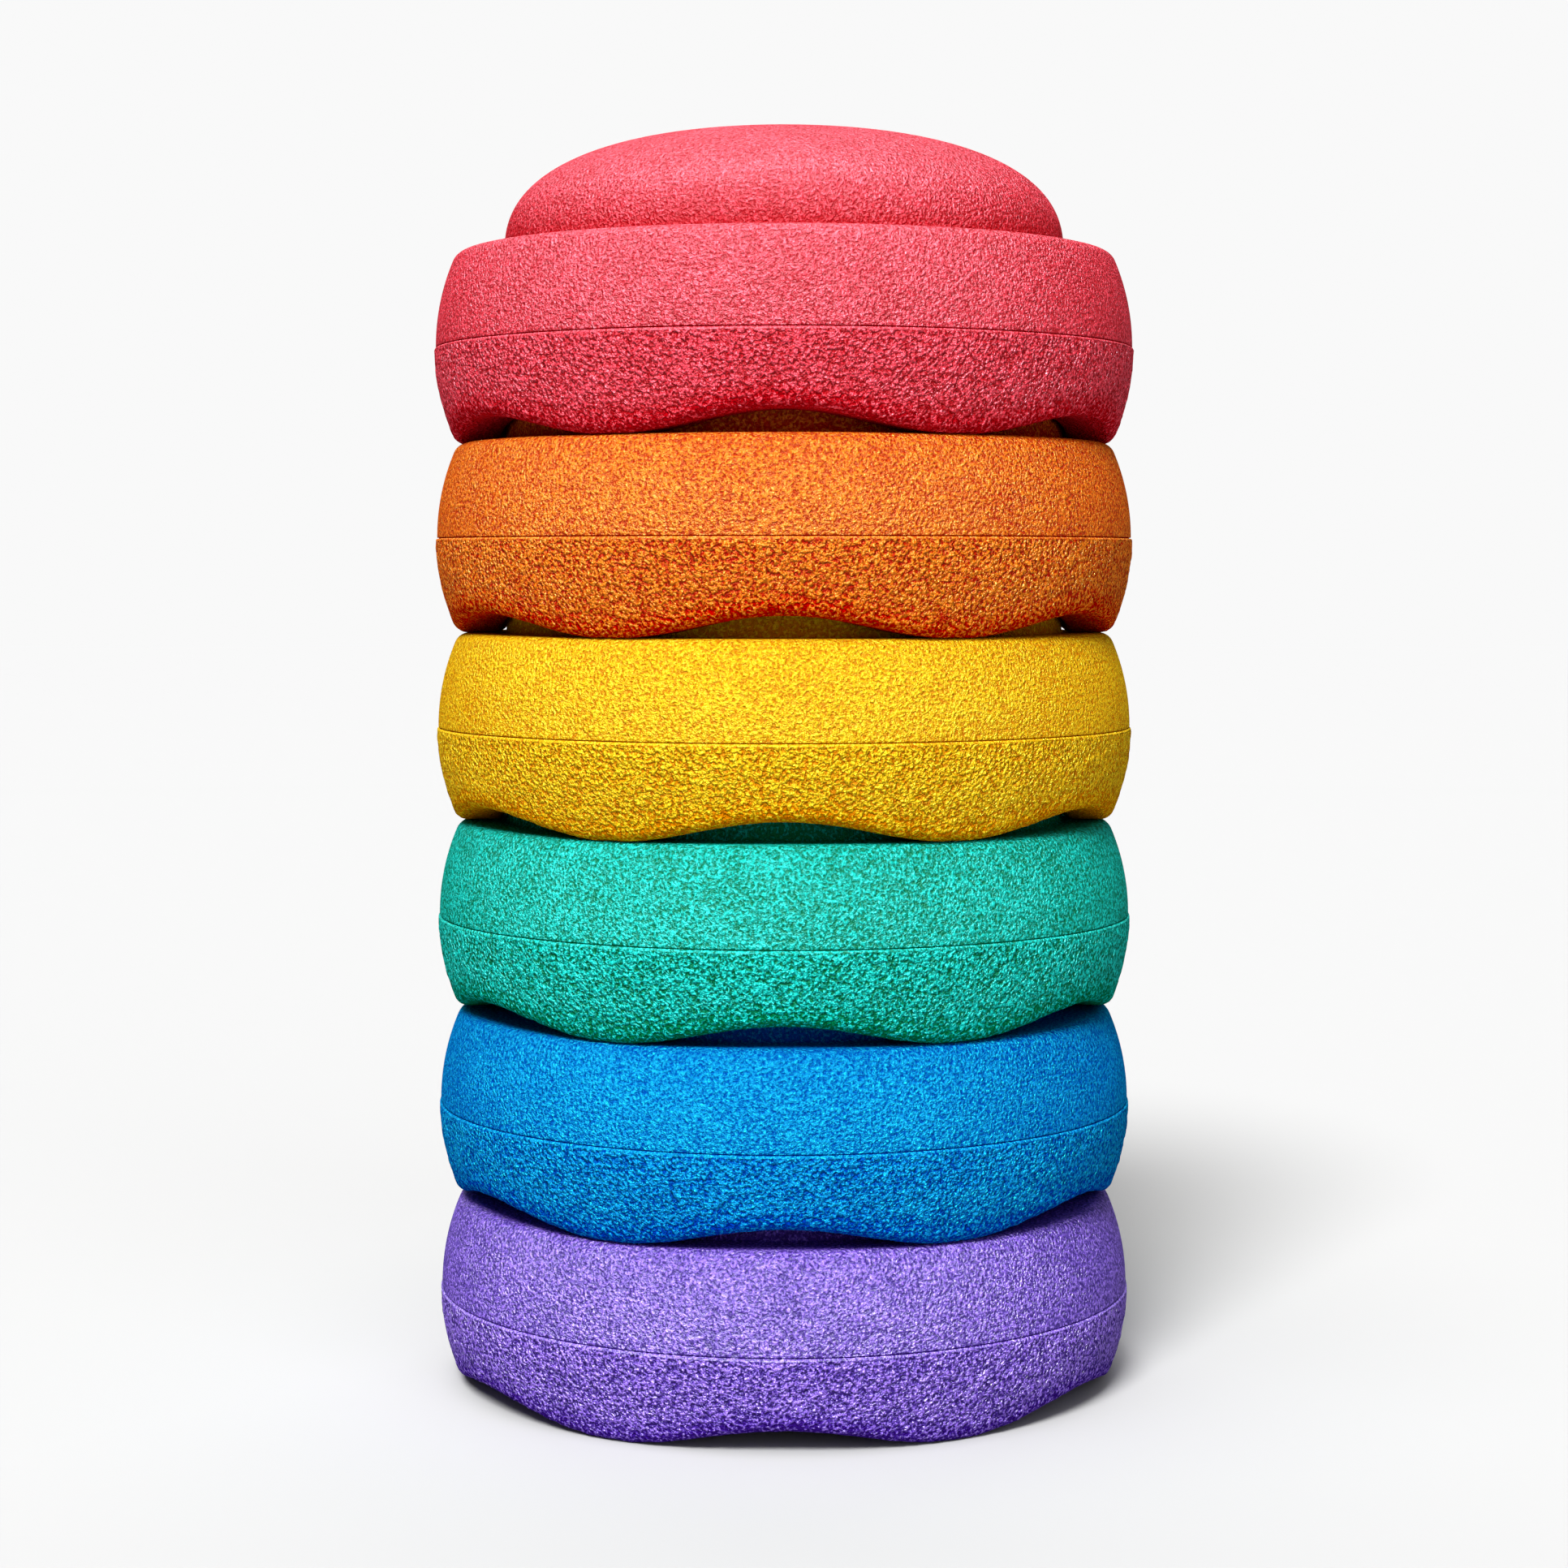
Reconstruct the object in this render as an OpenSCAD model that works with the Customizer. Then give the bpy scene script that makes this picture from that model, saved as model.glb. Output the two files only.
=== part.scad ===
// Stack of six round stepping stones, moulded in bead foam.
// Every stone is the same one-piece hollow moulding: a low dome, a flat ledge round it,
// a bulging band with a seam at mid height, and a wavy rim that stands on six feet.
// The dome of one stone fits in the hollow of the next, whose feet stand on its ledge.
// Millimetres, +Z up, origin at the middle of the plane that the lowest stone stands on.

/* [Band] */
// Largest diameter, at the seam
stone_d = 275; // [270:1:300]
// Height from the feet to the ledge
band_h = 74.4; // [70:0.2:84]
// Radius of the band's bulge, seen from the side
bulge_r = 86; // [76:1:160]
// Radius of the band's rounded upper and lower edges
edge_r = 5.8; // [3:0.2:8]
// Depth of the seam's groove
seam_depth = 0.4; // [0.2:0.1:1.5]

/* [Dome] */
// Diameter where the dome meets the ledge
dome_d = 220.8; // [200:0.2:222]
// Height above the ledge
dome_h = 47.9; // [36:0.1:52]
// Fullness of the curve: 2 is an ellipse, and more is squarer
dome_power = 2.44; // [2:0.02:3]
// Radius of the fillet where the dome meets the ledge
dome_fillet = 1.5; // [0.5:0.1:2]

/* [Hollow] */
// Gap between a dome and the wall of the hollow round it, at the mouth
nest_gap = 1.6; // [0.8:0.1:2.4]
// Inward lean of the wall, from the mouth to the top of the wall
wall_draft = 6; // [2:0.5:8]
// Height of the wall, above which the ceiling curves in
wall_h = 46; // [30:1:50]
// Thickness of the foam at the crown
crown_t = 22; // [16:1:26]
// Radius of the mouth's rounded edge
mouth_r = 3; // [1:0.5:4]

/* [Feet] */
// Feet round the rim, with an arch between each two
feet = 6; // [4:2:6]
// Height of the arches
arch_h = 8.4; // [4:0.2:12]
// Radius that the arches curve to
arch_r = 130; // [90:5:150]

/* [Hidden] */
$fn = 180;

seam_z = band_h / 2;
bulge_centre = stone_d / 2 - bulge_r;
edge_centre = bulge_centre + sqrt(pow(bulge_r - edge_r, 2) - pow(seam_z - edge_r, 2));
edge_reach = atan2(seam_z - edge_r, edge_centre - bulge_centre);
seam_reach = asin(seam_depth / bulge_r);
dome_r = dome_d / 2;
hollow_r = dome_r + nest_gap;
ceiling_r = hollow_r - wall_draft;
ceiling_h = band_h + dome_h - crown_t - wall_h;
ceiling_power = 2.3;
arch_start = hollow_r - 6;
overcut = 2;

// Points of an arc about a centre, from one angle to another
function arc(r, centre, from, to, steps) =
    [for (i = [0:steps]) let (a = from + (to - from) * i / steps) centre + r * [cos(a), sin(a)]];

// Height of a superellipse's curve as a share of its rise, at a share of its radius
function crown(share, power) = pow(1 - pow(share, power), 1 / power);

// Points of that curve from its foot, at angle 0, to its top, at angle 90
function crown_arc(r, h, z, power, from, steps) =
    [for (i = [0:steps])
        let (a = from + (90 - from) * i / steps, share = pow(cos(a), 2 / power))
        [r * share, z + h * crown(share, power)]];

function reversed(points) = [for (i = [len(points) - 1:-1:0]) points[i]];

// Outside of the band, from the foot up to the ledge, with the seam's groove half way
band_outline = concat(
    arc(edge_r, [edge_centre, edge_r], -90, -edge_reach, 5),
    arc(bulge_r, [bulge_centre, seam_z], -edge_reach, -seam_reach, 5),
    [[stone_d / 2 - seam_depth, seam_z]],
    arc(bulge_r, [bulge_centre, seam_z], seam_reach, edge_reach, 5),
    arc(edge_r, [edge_centre, band_h - edge_r], edge_reach, 90, 5)
);

// The dome's own curve starts a little above the fillet
fillet_top = asin(pow(dome_fillet / dome_h, dome_power / 2));
dome_start = fillet_top + 2;
dome_outline = concat(
    arc(dome_fillet, [dome_r + dome_fillet, band_h + dome_fillet], 270, 180, 4),
    crown_arc(dome_r, dome_h, band_h, dome_power, dome_start, 22)
);

hollow_outline = concat(
    arc(mouth_r, [hollow_r + mouth_r, mouth_r], 270, 180, 4),
    crown_arc(ceiling_r, ceiling_h, wall_h, ceiling_power, 0, 16)
);

// One whole stone, standing on z = 0
module stone() {
    difference() {
        rotate_extrude()
            polygon(concat(band_outline, dome_outline, reversed(hollow_outline)));
        arches();
    }
}

// The arches' own cutters, which start inside the hollow and end outside the band
module arches() {
    for (i = [0:feet - 1])
        rotate(i * 360 / feet)
            translate([0, -arch_start, 0])
                rotate([90, 0, 0])
                    linear_extrude(stone_d / 2 - arch_start + overcut)
                        arch_end();
}

// An arch seen along its own axis: the top of a large circle, down to just under the feet
module arch_end() {
    intersection() {
        translate([0, arch_h - arch_r]) circle(r = arch_r);
        translate([-arch_r, -overcut]) square([2 * arch_r, arch_h + 2 * overcut]);
    }
}

// A stone in its place, counting levels up from the lowest one
module stone_at(level) {
    translate([0, 0, level * band_h]) stone();
}

module purple_stone() {
    color("#8b68d6") stone_at(0);
}

module blue_stone() {
    color("#0a86d8") stone_at(1);
}

module green_stone() {
    color("#0fae93") stone_at(2);
}

module yellow_stone() {
    color("#f2bf0e") stone_at(3);
}

module orange_stone() {
    color("#ee7420") stone_at(4);
}

module red_stone() {
    color("#d93f58") stone_at(5);
}

purple_stone();
blue_stone();
green_stone();
yellow_stone();
orange_stone();
red_stone();
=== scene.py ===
"""Six stepping stones of moulded bead foam in a stack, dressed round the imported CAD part.

Each stone is one closed mesh of rows round the stack's axis. Its lower rim rises and falls in a
wave, so the rows of the mesh there follow the wave. Below the seam the surface has a coarse grain,
made in the mesh and carried on by the material; above it, a fine one from the material alone.
The stones' shapes are worked out in millimetres and turned into metres once, in build_mesh. The
floor, the lights and the camera are in metres and degrees.
"""
import math

import bpy
import numpy as np
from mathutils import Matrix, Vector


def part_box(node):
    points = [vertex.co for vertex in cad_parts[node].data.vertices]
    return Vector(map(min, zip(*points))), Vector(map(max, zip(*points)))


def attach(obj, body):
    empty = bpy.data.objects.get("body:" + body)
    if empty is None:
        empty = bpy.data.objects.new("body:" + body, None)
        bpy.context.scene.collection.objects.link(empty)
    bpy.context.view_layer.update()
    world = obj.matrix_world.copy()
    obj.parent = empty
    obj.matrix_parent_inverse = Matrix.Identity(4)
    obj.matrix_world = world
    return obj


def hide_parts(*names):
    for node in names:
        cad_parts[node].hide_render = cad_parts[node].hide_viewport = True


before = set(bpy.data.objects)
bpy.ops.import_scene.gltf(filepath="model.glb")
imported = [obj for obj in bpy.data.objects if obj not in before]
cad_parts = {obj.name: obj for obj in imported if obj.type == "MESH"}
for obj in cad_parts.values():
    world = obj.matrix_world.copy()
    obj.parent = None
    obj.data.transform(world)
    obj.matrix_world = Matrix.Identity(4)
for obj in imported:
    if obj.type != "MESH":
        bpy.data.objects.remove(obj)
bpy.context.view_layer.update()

# ------------------------------------------------------------ sizes, in millimetres
MM = 0.001

COLOURS = ["purple", "blue", "green", "yellow", "orange", "red"]   # from the lowest stone up

BULGE_R = 86.0          # the band's bulge, seen from the side
EDGE_R = 5.8            # the band's rounded upper and lower edges
DOME_R = 110.4          # where the dome meets the ledge
DOME_POWER = 2.44       # how full the dome's curve is
DOME_FILLET = 1.5       # in the corner between dome and ledge
HOLLOW_R = 112.0        # the hollow at its mouth
WALL_DRAFT = 6.0        # how far the hollow's wall leans in
WALL_TOP = 46.0         # height of that wall
CROWN_THICKNESS = 22.0  # foam over the hollow, at the axis
CEILING_POWER = 2.3     # how full the hollow's ceiling is
MOUTH_R = 3.0           # the mouth's rounded edge

FEET = 6
WAVE_H = 8.7            # rise of the rim's wave from foot to arch
FOOT_FLAT = 0.3         # what the wave loses to the feet's flat ends

SEAM_STEP = 0.5         # how far the lower half stands proud of the upper one
SEAM_DEPTH = 0.7        # the parting line's groove
SEAM_WIDTH = 0.4
SEAM_LIP = 1.0          # smooth rounded strip under the groove
SEAM_CLEAR = 0.9        # from the groove up to the first row of the bulge above it

# The coarse grain is ridges and lumps together, on a surface that other noise has bent
GRAIN_H = 0.16          # its height in the mesh
GRAIN_SIZE = 2.6        # the usual width of a lump
RIDGE_SIZE = 1.5 * GRAIN_SIZE
RIDGE_SLOPE = 2.2       # how soon a ridge falls off to its sides
RIDGE_SHARE = 0.45
LUMP_SHARE = 0.75
GRAIN_LIMIT = 1.6       # the most that the two may come to, as a share of GRAIN_H
BEND_SIZE = 2.2 * GRAIN_SIZE
BEND_REACH = 0.5 * GRAIN_SIZE

# ------------------------------------------------------------ painted shade, from 0 in the open to 1 deep
INNER_PAINTED_SHADE = 0.6      # painted shade in the hollow and under the rim
EDGE_PAINTED_SHADE = 0.35      # painted shade where the rim's rounded edge meets the band
BAND_FADE = 1.2         # how fast that painted shade fades, for each height of the lower band
LEDGE_PAINTED_SHADE = 0.35     # painted shade on the ledge beside the dome
# painted shade in the corner between the ledge and the dome
FILLET_PAINTED_SHADE = 0.5
FOOT_PAINTED_SHADES = ((0.35, 20.0), (0.15, 8.0))   # painted shade at the dome's foot: each with the height it fades over

# ------------------------------------------------------------ how coarse, from 0 smooth to 1 coarse
UNDER_COARSE = 0.1      # the underside of the rim
EDGE_COARSE = 0.3       # where that turns into the rim's rounded edge
EDGE_ROUGHENS = 1.8     # how fast the edge gets coarser, going round it

# ------------------------------------------------------------ columns round the stone
# Neighbouring rows have as many columns as each other, or half or twice as many
FINE = 960
MAIN = 480
INSIDE = 240
INNER = 120
POLE = 60

# The radius up to which a row of the ceiling or the dome has so many columns
CEILING_COLUMNS = ((30, POLE), (60, INNER), (math.inf, INSIDE))
DOME_COLUMNS = ((22, POLE), (45, INNER), (88, INSIDE), (math.inf, MAIN))

# ------------------------------------------------------------ the frame's own sizes
lowest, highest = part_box("purple_stone")
STONE_R = (highest.x - lowest.x) / 2 / MM
STONE_H = (highest.z - lowest.z) / MM
PITCH = (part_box("blue_stone")[0].z - lowest.z) / MM
SEAM_Z = PITCH / 2
DOME_H = STONE_H - PITCH
BULGE_C = STONE_R - BULGE_R
CEILING_R = HOLLOW_R - WALL_DRAFT
CEILING_H = STONE_H - CROWN_THICKNESS - WALL_TOP


# ------------------------------------------------------------ lattice noise for the mesh
def lattice_noise(points, size, seed):
    """Smooth noise from about -1 to 1 at points in millimetres, with bumps about size wide."""
    table = np.random.default_rng(seed).normal(size=(64, 64, 64)).astype(np.float32)
    p = points / size + 1000.0
    low = np.floor(p).astype(int)
    t = p - low
    t = t * t * (3 - 2 * t)
    total = np.zeros(len(points))
    for corner in range(8):
        step = np.array([corner & 1, corner >> 1 & 1, corner >> 2])
        share = np.prod(np.where(step, t, 1 - t), axis=1)
        i, j, k = ((low + step) % 64).T
        total += share * table[i, j, k]
    return total


def coarse_grain(points, seed):
    """The coarse grain's height as a share of GRAIN_H: short ridges with pits between them."""
    bend = np.stack([lattice_noise(points, BEND_SIZE, seed + n) for n in range(3)], axis=1)
    bent = points + BEND_REACH * bend
    ridges = 1 - RIDGE_SLOPE * np.abs(lattice_noise(bent, RIDGE_SIZE, seed + 3))
    lumps = lattice_noise(bent, GRAIN_SIZE, seed + 4)
    return np.clip(RIDGE_SHARE * ridges + LUMP_SHARE * lumps, -GRAIN_LIMIT, GRAIN_LIMIT)


# ------------------------------------------------------------ one stone's rows
def wave(angle):
    """Height of the rim above the feet's plane, at an angle round the stone."""
    rise = WAVE_H * (1 - np.cos(FEET * angle)) / 2
    return np.maximum(rise - FOOT_FLAT, 0)


def ring(angle, r, z, coarse=0.0, painted_shade=0.0):
    """One row of the mesh: its points, how coarse its grain is and how much painted shade it has.
    """
    r, z = np.broadcast_to(r, angle.shape), np.broadcast_to(z, angle.shape)
    points = np.stack([r * np.cos(angle), r * np.sin(angle), z], axis=1)
    return {"points": points, "coarse": coarse, "painted_shade": painted_shade}


def columns(count):
    """Angles of a row's points."""
    return np.arange(count) * 2 * math.pi / count


def shares(steps, first=0):
    """Even steps from 0 to 1, leaving out the first ones."""
    return [n / steps for n in range(first, steps + 1)]


def columns_at(r, limits):
    return columns(next(count for limit, count in limits if r < limit))


def crown_row(share, radius, rise, power):
    """A point of a dome's curve at a share of a quarter turn: its radius and its height."""
    a = share * math.pi / 2
    across = max(math.cos(a), 0.0) ** (2 / power)
    return radius * across, rise * max(1 - across ** power, 0.0) ** (1 / power)


def hollow_rows():
    """From the middle of the ceiling down the wall to the mouth, all with painted shade."""
    rows = []
    for share in reversed(shares(22)[1:-1]):
        r, z = crown_row(share, CEILING_R, CEILING_H, CEILING_POWER)
        rows.append(ring(columns_at(r, CEILING_COLUMNS), r, WALL_TOP + z, painted_shade=INNER_PAINTED_SHADE))
    angle = columns(INSIDE)
    mouth_z = wave(angle) + MOUTH_R
    for share in shares(14):
        r = CEILING_R + WALL_DRAFT * share
        z = WALL_TOP + (mouth_z - WALL_TOP) * share
        rows.append(ring(angle, r, z, painted_shade=INNER_PAINTED_SHADE))
    return rows


def rim_rows():
    """The mouth's rounded edge, the underside of the rim and the band's lower edge, with painted
    shade that lessens going round the edge.
    """
    rows = []
    angle = columns(MAIN)
    for share in shares(4, first=1):
        turn = math.pi / 2 * share
        r = HOLLOW_R + MOUTH_R * (1 - math.cos(turn))
        z = wave(angle) + MOUTH_R * (1 - math.sin(turn))
        rows.append(ring(angle, r, z, painted_shade=INNER_PAINTED_SHADE))
    inner_r = HOLLOW_R + MOUTH_R
    edge_c, _ = lower_edge(angle)
    for share in (0.35, 0.7):
        r = inner_r + (edge_c - inner_r) * share
        rows.append(ring(angle, r, wave(angle), coarse=UNDER_COARSE, painted_shade=INNER_PAINTED_SHADE))
    angle = columns(FINE)
    edge_c, reach = lower_edge(angle)
    for share in shares(9):
        turn = -math.pi / 2 + share * (math.pi / 2 - reach)
        r = edge_c + EDGE_R * np.cos(turn)
        z = wave(angle) + EDGE_R + EDGE_R * np.sin(turn)
        coarse = min(1.0, EDGE_COARSE + EDGE_ROUGHENS * share)
        painted_shade = INNER_PAINTED_SHADE - (INNER_PAINTED_SHADE - EDGE_PAINTED_SHADE) * share
        rows.append(ring(angle, r, z, coarse, painted_shade))
    return rows


def lower_edge(angle):
    """Where the lower edge's arc is centred, and the angle at which it meets the bulge."""
    drop = SEAM_Z - EDGE_R - wave(angle)
    across = np.sqrt((BULGE_R + SEAM_STEP - EDGE_R) ** 2 - drop ** 2)
    return BULGE_C + across, np.arctan2(drop, across)


def lower_band_rows():
    """The bulge from the lower edge up to the smooth lip under the groove."""
    rows = []
    angle = columns(FINE)
    _, reach = lower_edge(angle)
    lip = math.asin((SEAM_LIP + SEAM_WIDTH / 2) / BULGE_R)
    radius = BULGE_R + SEAM_STEP
    for share in shares(36, first=1):
        turn = reach + (lip - reach) * share
        r = BULGE_C + radius * np.cos(turn)
        z = SEAM_Z - radius * np.sin(turn)
        # Painted shade from the rim's edge, fading out going up the band.
        painted_shade = max(EDGE_PAINTED_SHADE - BAND_FADE * share, 0.0)
        rows.append(ring(angle, r, z, coarse=1.0, painted_shade=painted_shade))
    return rows


def seam_rows():
    """The lip, rounded over its upper edge, and the groove between the two halves: painted shade in
    the groove, and a painted highlight along the lip.
    """
    angle = columns(FINE)
    lip_r = STONE_R + SEAM_STEP
    low = SEAM_Z - SEAM_WIDTH / 2
    high = SEAM_Z + SEAM_WIDTH / 2
    floor_r = STONE_R - SEAM_DEPTH
    # Radius, height, how coarse, and how much painted shade: 1 on the groove's floor, and below 0
    # it is a paler edge, a painted highlight
    steps = [
        (lip_r, low - 0.85 * SEAM_LIP, 0.6, 0),
        (lip_r, low - 0.6 * SEAM_LIP, 0.15, -0.15),
        (lip_r - 0.1, low - 0.35 * SEAM_LIP, 0, -0.25),
        (lip_r - 0.35, low - 0.1 * SEAM_LIP, 0, -0.2),
        (lip_r - 0.7, low, 0, 0.1),
        (floor_r, low + 0.05, 0, 1),
        (floor_r, high - 0.05, 0, 1),
        (STONE_R - 0.08, high, 0, 0.4),
        (STONE_R, high + 0.15, 0, 0),
    ]
    return [ring(angle, r, z, coarse, painted_shade) for r, z, coarse, painted_shade in steps]


def upper_rows():
    """The upper half of the band, the ledge and the dome, up to the row round the pole."""
    rows = []
    angle = columns(MAIN)
    drop = SEAM_Z - EDGE_R
    across = math.sqrt((BULGE_R - EDGE_R) ** 2 - drop ** 2)
    reach = math.atan2(drop, across)
    start = math.asin((SEAM_WIDTH / 2 + SEAM_CLEAR) / BULGE_R)
    for share in shares(20):
        turn = start + (reach - start) * share
        r = BULGE_C + BULGE_R * math.cos(turn)
        rows.append(ring(angle, r, SEAM_Z + BULGE_R * math.sin(turn)))
    edge_c = BULGE_C + across
    for share in shares(7, first=1):
        turn = reach + (math.pi / 2 - reach) * share
        r = edge_c + EDGE_R * math.cos(turn)
        rows.append(ring(angle, r, PITCH - EDGE_R + EDGE_R * math.sin(turn)))
    fillet_r = DOME_R + DOME_FILLET
    for share in shares(6, first=1):
        r = edge_c + (fillet_r - edge_c) * share
        # Painted shade on the ledge, deeper towards the dome.
        rows.append(ring(angle, r, PITCH, painted_shade=LEDGE_PAINTED_SHADE * share ** 0.5))
    for share in shares(4, first=1):
        turn = math.pi / 2 * share
        r = fillet_r - DOME_FILLET * math.sin(turn)
        z = PITCH + DOME_FILLET * (1 - math.cos(turn))
        # Painted shade in the fillet.
        rows.append(ring(angle, r, z, painted_shade=FILLET_PAINTED_SHADE))
    for share in shares(44, first=2)[:-1]:
        r, z = crown_row(share, DOME_R, DOME_H, DOME_POWER)
        # Painted shade at the dome's foot, fading with height.
        painted_shade = sum(depth * max(1 - z / fade, 0.0) for depth, fade in FOOT_PAINTED_SHADES)
        rows.append(ring(columns_at(r, DOME_COLUMNS), r, PITCH + z, painted_shade=painted_shade))
    return rows


# ------------------------------------------------------------ rows to meshes
def strip(low, high, first_low, first_high):
    """Faces between two rows, facing outwards, as triangles where one has twice the columns."""
    if low == high:
        a = np.arange(low)
        b = (a + 1) % low
        corners = [first_low + a, first_low + b, first_high + b, first_high + a]
        return np.stack(corners, axis=1).tolist()
    few = min(low, high)
    first_few, first_many = (first_low, first_high) if low < high else (first_high, first_low)
    a = np.arange(few)
    b = (a + 1) % few
    left, middle, right = first_many + 2 * a, first_many + 2 * a + 1, first_many + 2 * b
    a, b = first_few + a, first_few + b
    triangles = np.concatenate([
        np.stack([a, middle, left], axis=1),
        np.stack([a, b, middle], axis=1),
        np.stack([b, right, middle], axis=1),
    ])
    return (triangles if low < high else triangles[:, ::-1]).tolist()


def cap(count, first, pole, up):
    """Faces from a row to the one point in its middle."""
    a = np.arange(count)
    b = (a + 1) % count
    order = [first + a, first + b, np.full(count, pole)]
    return np.stack(order if up else order[::-1], axis=1).tolist()


def stone_rows():
    """A stone's rows from the hollow's ceiling round to the dome, and the points at both ends."""
    rows = hollow_rows() + rim_rows() + lower_band_rows() + seam_rows() + upper_rows()
    inner_pole = np.array([[0, 0, WALL_TOP + CEILING_H]])
    outer_pole = np.array([[0, 0, STONE_H]])
    return rows, inner_pole, outer_pole


def outward(points, counts, firsts):
    """Unit vectors square to the surface, from the profile through each point and its neighbours.

    They stay zero, so that no grain is raised, next to a row with another number of columns.
    """
    radius = np.hypot(points[:, 0], points[:, 1])
    normals = np.zeros_like(points)
    for n in range(1, len(counts) - 1):
        here = slice(firsts[n], firsts[n] + counts[n])
        if not counts[n - 1] == counts[n] == counts[n + 1]:
            continue
        below = slice(firsts[n - 1], firsts[n - 1] + counts[n])
        above = slice(firsts[n + 1], firsts[n + 1] + counts[n])
        dr, dz = radius[above] - radius[below], points[above, 2] - points[below, 2]
        long = np.maximum(np.hypot(dr, dz), 1e-9)
        unit = points[here, :2] / radius[here, None]
        normals[here, :2] = unit * (dz / long)[:, None]
        normals[here, 2] = -dr / long
    return normals


def build_mesh(name, level):
    """A stone's mesh in the frame's metres, with its grain and what its material reads."""
    rows, inner_pole, outer_pole = stone_rows()
    counts = [len(row["points"]) for row in rows]
    firsts = np.concatenate([[0], np.cumsum(counts)]).astype(int).tolist()
    points = np.concatenate([row["points"] for row in rows])
    coarse = np.concatenate([np.full(n, row["coarse"]) for n, row in zip(counts, rows)])
    painted_shade = np.concatenate([np.full(n, row["painted_shade"]) for n, row in zip(counts, rows)])

    rough = coarse > 0
    lift = np.zeros(len(points))
    lift[rough] = GRAIN_H * coarse[rough] * coarse_grain(points[rough], seed=100 * level)
    points = points + outward(points, counts, firsts) * lift[:, None]

    faces = cap(counts[0], 0, len(points), up=False)
    for n in range(len(rows) - 1):
        faces += strip(counts[n], counts[n + 1], firsts[n], firsts[n + 1])
    faces += cap(counts[-1], firsts[-2], len(points) + 1, up=True)
    points = np.concatenate([points, inner_pole, outer_pole])
    points[:, 2] += level * PITCH

    mesh = bpy.data.meshes.new(name)
    mesh.from_pydata((points * MM).tolist(), [], faces)
    # Two layers for the material: how coarse the grain is, and the painted shade, which the
    # hollow's pole has and the dome's doesn't.
    for label, values, poles in (("coarse", coarse, [0, 0]), ("painted_shade", painted_shade, [INNER_PAINTED_SHADE, 0])):
        layer = mesh.attributes.new(label, "FLOAT", "POINT")
        layer.data.foreach_set("value", np.concatenate([values, poles]).astype(np.float32))
    mesh.polygons.foreach_set("use_smooth", np.ones(len(mesh.polygons), bool))
    mesh.validate()
    return mesh


# ------------------------------------------------------------ materials
class Nodes:
    """A short way to write a node tree: calls add nodes, and link or set their inputs."""

    def __init__(self, tree):
        self.tree = tree

    def put(self, socket, value):
        if isinstance(value, bpy.types.NodeSocket):
            self.tree.links.new(value, socket)
        else:
            socket.default_value = value

    def add(self, kind, inputs=None, **settings):
        node = self.tree.nodes.new(kind)
        for name, value in settings.items():
            setattr(node, name, value)
        for name, value in (inputs or {}).items():
            self.put(node.inputs[name], value)
        return node

    def math(self, operation, a, b):
        return self.add("ShaderNodeMath", {0: a, 1: b}, operation=operation).outputs[0]

    def noise(self, where, scale, detail, roughness, distortion=0.0):
        inputs = {"Vector": where, "Scale": scale, "Detail": detail, "Roughness": roughness,
                  "Distortion": distortion}
        return self.add("ShaderNodeTexNoise", inputs).outputs["Fac"]

    def spread(self, value, low, high, to_low=0.0, to_high=1.0):
        """Turns low into to_low and high into to_high, evenly between them and no further."""
        inputs = {"Value": value, "From Min": low, "From Max": high, "To Min": to_low,
                  "To Max": to_high}
        return self.add("ShaderNodeMapRange", inputs).outputs["Result"]

    def mix(self, share, a, b):
        """Blends two colours."""
        node = self.add("ShaderNodeMix", data_type="RGBA")
        factor, first, second = node.inputs[0], node.inputs[6], node.inputs[7]
        self.put(factor, share)
        self.put(first, a)
        self.put(second, b)
        return node.outputs[2]

    def finish(self, share, first, second):
        """Blends two shaders into the surface."""
        inputs = {0: share, 1: first.outputs[0], 2: second.outputs[0]}
        shader = self.add("ShaderNodeMixShader", inputs)
        out = self.add("ShaderNodeOutputMaterial")
        self.tree.links.new(shader.outputs[0], out.inputs["Surface"])


def new_material(name):
    """An empty material, its nodes and the place on the object that they read."""
    material = bpy.data.materials.new(name)
    material.use_nodes = True
    material.node_tree.nodes.clear()
    n = Nodes(material.node_tree)
    return material, n, n.add("ShaderNodeTexCoord").outputs["Object"]


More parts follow.
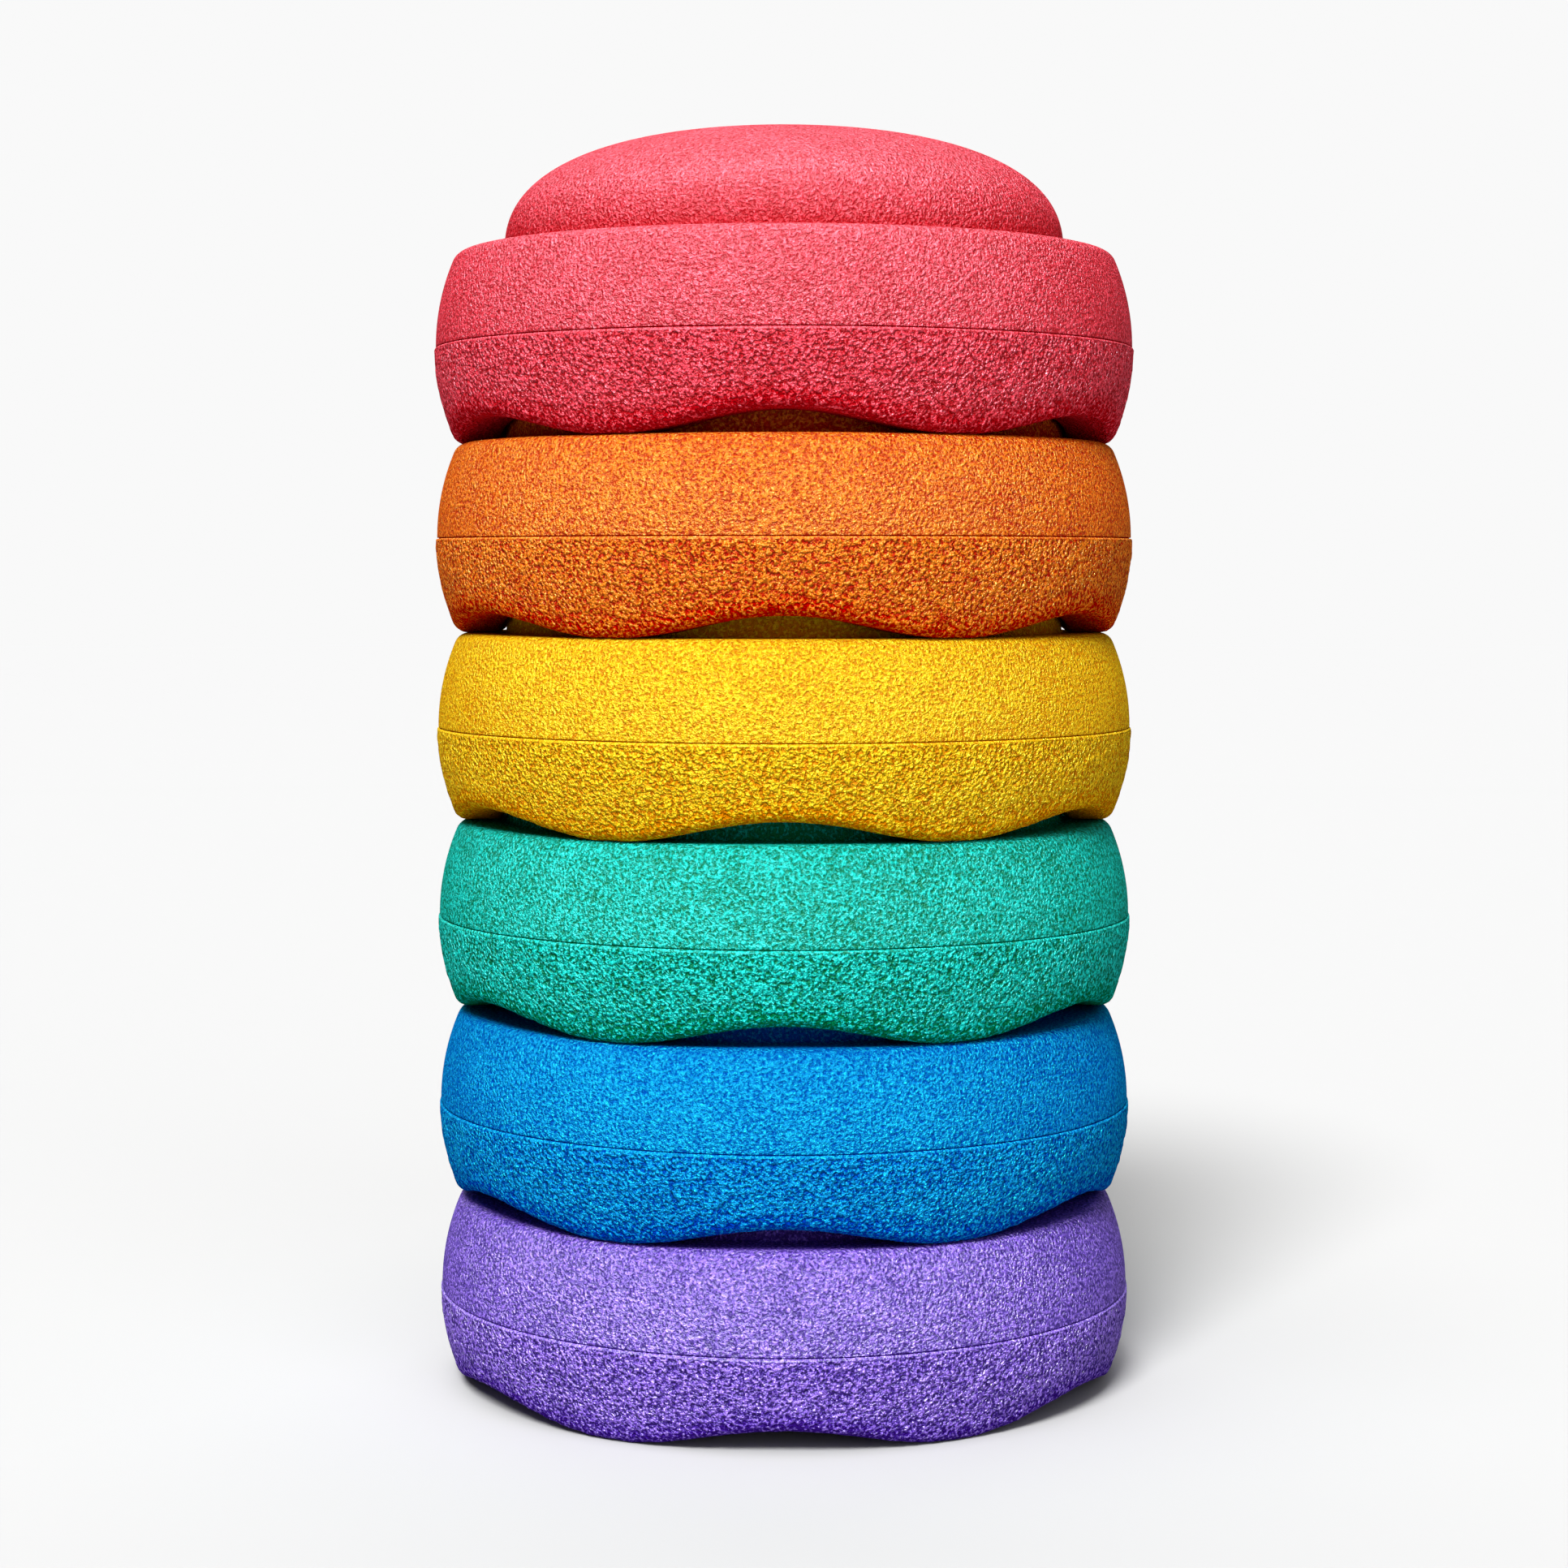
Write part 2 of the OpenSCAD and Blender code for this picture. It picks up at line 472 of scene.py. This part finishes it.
# Each foam's own colour, that of its painted shade (the grain's pits and painted shade in creases),
# that of its painted highlight (the grain's tops and the seam's lip), and its gloss's
FOAMS = {
    "purple": {
        "body": (0.085, 0.030, 0.378),
        "painted_shade_colour": (0.030, 0.0050, 0.185),
        "painted_highlight_colour": (0.271, 0.129, 0.783),
        "gloss": (1.00, 1.00, 1.00),
    },
    "blue": {
        "body": (0.0006, 0.110, 0.424),
        "painted_shade_colour": (0.000, 0.030, 0.320),
        "painted_highlight_colour": (0.0040, 0.235, 0.660),
        "gloss": (0.02, 0.85, 0.40),
    },
    "green": {
        "body": (0.0002, 0.262, 0.210),
        "painted_shade_colour": (0.000, 0.134, 0.045),
        "painted_highlight_colour": (0.0032, 0.594, 0.511),
        "gloss": (0.18, 0.72, 0.72),
    },
    "yellow": {
        "body": (0.620, 0.312, 0.0010),
        "painted_shade_colour": (0.490, 0.143, 0.0002),
        "painted_highlight_colour": (0.810, 0.480, 0.0054),
        "gloss": (0.60, 0.85, 0.12),
    },
    "orange": {
        "body": (0.565, 0.071, 0.0004),
        "painted_shade_colour": (0.383, 0.000, 0.000),
        "painted_highlight_colour": (0.847, 0.182, 0.0037),
        "gloss": (0.55, 0.68, 0.22),
    },
    "red": {
        "body": (0.545, 0.0090, 0.019),
        "painted_shade_colour": (0.360, 0.001, 0.004),
        "painted_highlight_colour": (0.897, 0.046, 0.081),
        "gloss": (0.50, 0.50, 0.60),
    },
}

# Noise of the material's grain: bumps to a metre, and where most of its values lie
FINE_SCALE = 820
PEBBLE_SCALE = 700
CLOUD_SCALE = 50
GRAIN_RANGE = (0.35, 0.65)
CLOUD_RANGE = (0.3, 0.7)

# Height of the bumps in millimetres, where the mesh says smooth and where it says coarse
FINE_BUMPS = (2.1, 0.5)
PEBBLE_BUMPS = (0.0, 5.0)

# What each thing does to the tone, which runs from -1 in a pit to 1 on a top: the clouds vary at
# random, the grain paints shade into its pits and highlight onto its tops, and the painted shade
# mask darkens it
CLOUD_TONES = (-0.18, 0.18)
FINE_PAINTED_TONES = (-1.3, 1.3)
PEBBLE_PAINTED_TONES = (-1.1, 1.6)
# how far painted shade darkens the tone
PAINTED_SHADE_TONE = 2.0

GLOSS_SHARE = 0.22      # of the light, thrown back as gloss by the tops of smooth open foam
GLOSS_ROUGHNESS = 0.33
COARSE_MATT = 0.3       # share of the gloss that coarse foam has lost
PAINTED_SHADE_MATT = 0.8       # and foam in painted shade
PIT_MATT = 0.45         # and the grain's pits


def foam_material(colour):
    """Moulded bead foam: fine leathery grain, and a pebbled one where the mesh says coarse, with
    painted shade in its pits and where the mesh asks, and painted highlight on its tops.
    """
    foam = FOAMS[colour]
    material, n, where = new_material(colour + "_foam")
    coarse = n.add("ShaderNodeAttribute", attribute_name="coarse").outputs["Fac"]
    painted_shade = n.add("ShaderNodeAttribute", attribute_name="painted_shade").outputs["Fac"]

    fine = n.noise(where, FINE_SCALE, detail=2, roughness=0.6, distortion=0.2)
    pebbles = n.noise(where, PEBBLE_SCALE, detail=1.5, roughness=0.5, distortion=0.3)
    clouds = n.noise(where, CLOUD_SCALE, detail=2, roughness=0.6)

    fine_height = n.math("MULTIPLY", fine, n.spread(coarse, 0, 1, *FINE_BUMPS))
    pebble_height = n.math("MULTIPLY", pebbles, n.spread(coarse, 0, 1, *PEBBLE_BUMPS))
    height = n.math("ADD", fine_height, pebble_height)
    bump = n.add("ShaderNodeBump", {"Height": height, "Strength": 1.0, "Distance": MM})
    normal = bump.outputs["Normal"]

    cloud_tone = n.spread(clouds, *CLOUD_RANGE, *CLOUD_TONES)
    # The grain's tone is painted light following the bump heights: painted shade in the pits,
    # painted highlight on the tops. The clouds are random.
    fine_painted_light = n.spread(fine, *GRAIN_RANGE, *FINE_PAINTED_TONES)
    pebble_painted_light = n.math("MULTIPLY", n.spread(pebbles, *GRAIN_RANGE, *PEBBLE_PAINTED_TONES), coarse)
    clouds_and_painted_light = n.math("ADD", cloud_tone, n.math("ADD", fine_painted_light, pebble_painted_light))
    # The mesh's painted shade darkens it further.
    tone = n.math("SUBTRACT", clouds_and_painted_light, n.math("MULTIPLY", painted_shade, PAINTED_SHADE_TONE))
    # Low tones go to the painted shade colour, high ones to the painted highlight colour.
    low_colour = n.mix(n.spread(tone, -1, 0), (*foam["painted_shade_colour"], 1), (*foam["body"], 1))
    foam_colour = n.mix(n.spread(tone, 0, 1), low_colour, (*foam["painted_highlight_colour"], 1))

    coarse_loss = n.math("MULTIPLY", coarse, COARSE_MATT)
    painted_shade_loss = n.math("MULTIPLY", painted_shade, PAINTED_SHADE_MATT)
    pit_loss = n.spread(tone, -1, 1, PIT_MATT, 0)
    loss = n.math("ADD", n.math("ADD", coarse_loss, painted_shade_loss), pit_loss)
    share = n.spread(loss, 0, 1, GLOSS_SHARE, 0)

    matt = n.add("ShaderNodeBsdfDiffuse", {"Color": foam_colour, "Normal": normal})
    skin = n.add("ShaderNodeBsdfGlossy", {
        "Color": (*foam["gloss"], 1),
        "Roughness": GLOSS_ROUGHNESS,
        "Normal": normal,
    })
    n.finish(share, matt, skin)
    return material


# ------------------------------------------------------------ the stones
def make_stone(colour, level):
    node = colour + "_stone"
    name = node + "_moulding"
    piece = bpy.data.objects.new(name, build_mesh(name, level))
    bpy.context.scene.collection.objects.link(piece)
    piece.data.materials.append(foam_material(colour))
    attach(piece, node)
    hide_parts(node)


for level, colour in enumerate(COLOURS):
    make_stone(colour, level)


# ------------------------------------------------------------ floor, light and camera
FLOOR_R = 14.0
FLOOR_SHADE = 0.42
FLOOR_GLOW = (0.25 * FLOOR_R, 0.85 * FLOOR_R)   # from where it is all matt to where it only glows
BACKDROP_R = 0.97 * FLOOR_R
BACKDROP_GLOW = (0, 0.1 * FLOOR_R)

SKY = 0.08

# Azimuth counts from the camera's side, to the right. A sun that isn't matt lights only the gloss,
# and one that isn't gloss lights everything else.
SUNS = {
    "key": {"energy": 5.85, "spread": 20, "azimuth": -15, "elevation": 45},
    "fill": {"energy": 1.1, "spread": 60, "azimuth": 15, "elevation": 25, "gloss": False},
    "top": {"energy": 1.6, "spread": 40, "azimuth": -30, "elevation": 76},
    "rim": {"energy": 3.0, "spread": 60, "azimuth": 200, "elevation": 74, "matt": False},
    "back": {"energy": 1.6, "spread": 70, "azimuth": 180, "elevation": 25, "gloss": False},
}

CAMERA_DISTANCE = 1.2919
CAMERA_HEIGHT = 0.3241
CAMERA_TILT = 3.869     # degrees down from level
CAMERA_REACH = 100      # past the backdrop
LENS = 74.19            # on a sensor 36 mm wide


def floor_light():
    """How bright the matt floor is in the open, under the sky and every sun that lights it."""
    on_floor = SKY
    for sun in SUNS.values():
        if sun.get("matt", True):
            on_floor += sun["energy"] * math.sin(math.radians(sun["elevation"])) / math.pi
    return FLOOR_SHADE * on_floor


def pale_material(name, glow):
    """Matt up to one distance from the stones, then turning by another into a glow as bright."""
    material, n, where = new_material(name)
    away = n.add("ShaderNodeVectorMath", {0: where}, operation="LENGTH").outputs["Value"]
    matt = n.add("ShaderNodeBsdfDiffuse", {"Color": (FLOOR_SHADE, FLOOR_SHADE, FLOOR_SHADE, 1)})
    lamp = n.add("ShaderNodeEmission", {"Strength": floor_light()})
    n.finish(n.spread(away, *glow), matt, lamp)
    return material


def make_floor():
    """The floor, which the foam's gloss doesn't reflect."""
    bpy.ops.mesh.primitive_circle_add(vertices=96, radius=FLOOR_R, fill_type="NGON")
    floor = bpy.context.object
    floor.name = "floor"
    floor.data.materials.append(pale_material("pale_floor", FLOOR_GLOW))
    floor.visible_glossy = False


def make_backdrop():
    """A shell far round everything, as bright as the lit floor, so that the floor has no edge."""
    bpy.ops.mesh.primitive_uv_sphere_add(segments=48, ring_count=24, radius=BACKDROP_R)
    backdrop = bpy.context.object
    backdrop.name = "backdrop"
    backdrop.data.materials.append(pale_material("pale_backdrop", BACKDROP_GLOW))
    for kind in ("diffuse", "glossy", "transmission", "volume_scatter", "shadow"):
        setattr(backdrop, "visible_" + kind, False)


def make_sun(name, energy, spread, azimuth, elevation, matt=True, gloss=True):
    sun = bpy.data.lights.new(name, "SUN")
    sun.energy = energy
    sun.angle = math.radians(spread)
    lamp = bpy.data.objects.new(name, sun)
    lamp.rotation_euler = (math.radians(90 - elevation), 0, math.radians(azimuth))
    lamp.visible_diffuse = matt
    lamp.visible_glossy = gloss
    bpy.context.scene.collection.objects.link(lamp)


def make_light():
    world = bpy.data.worlds.new("sky")
    bpy.context.scene.world = world
    world.use_nodes = True
    sky = world.node_tree.nodes["Background"]
    sky.inputs["Color"].default_value = (1, 1, 1, 1)
    sky.inputs["Strength"].default_value = SKY
    for name, sun in SUNS.items():
        make_sun(name, **sun)


def make_camera():
    camera = bpy.data.cameras.new("camera")
    camera.lens = LENS
    camera.sensor_width = 36
    camera.clip_end = CAMERA_REACH
    eye = bpy.data.objects.new("camera", camera)
    eye.location = (0, -CAMERA_DISTANCE, CAMERA_HEIGHT)
    eye.rotation_euler = (math.radians(90 - CAMERA_TILT), 0, 0)
    bpy.context.scene.collection.objects.link(eye)
    bpy.context.scene.camera = eye


make_floor()
make_backdrop()
make_light()
make_camera()
bpy.context.scene.view_settings.view_transform = "Standard"
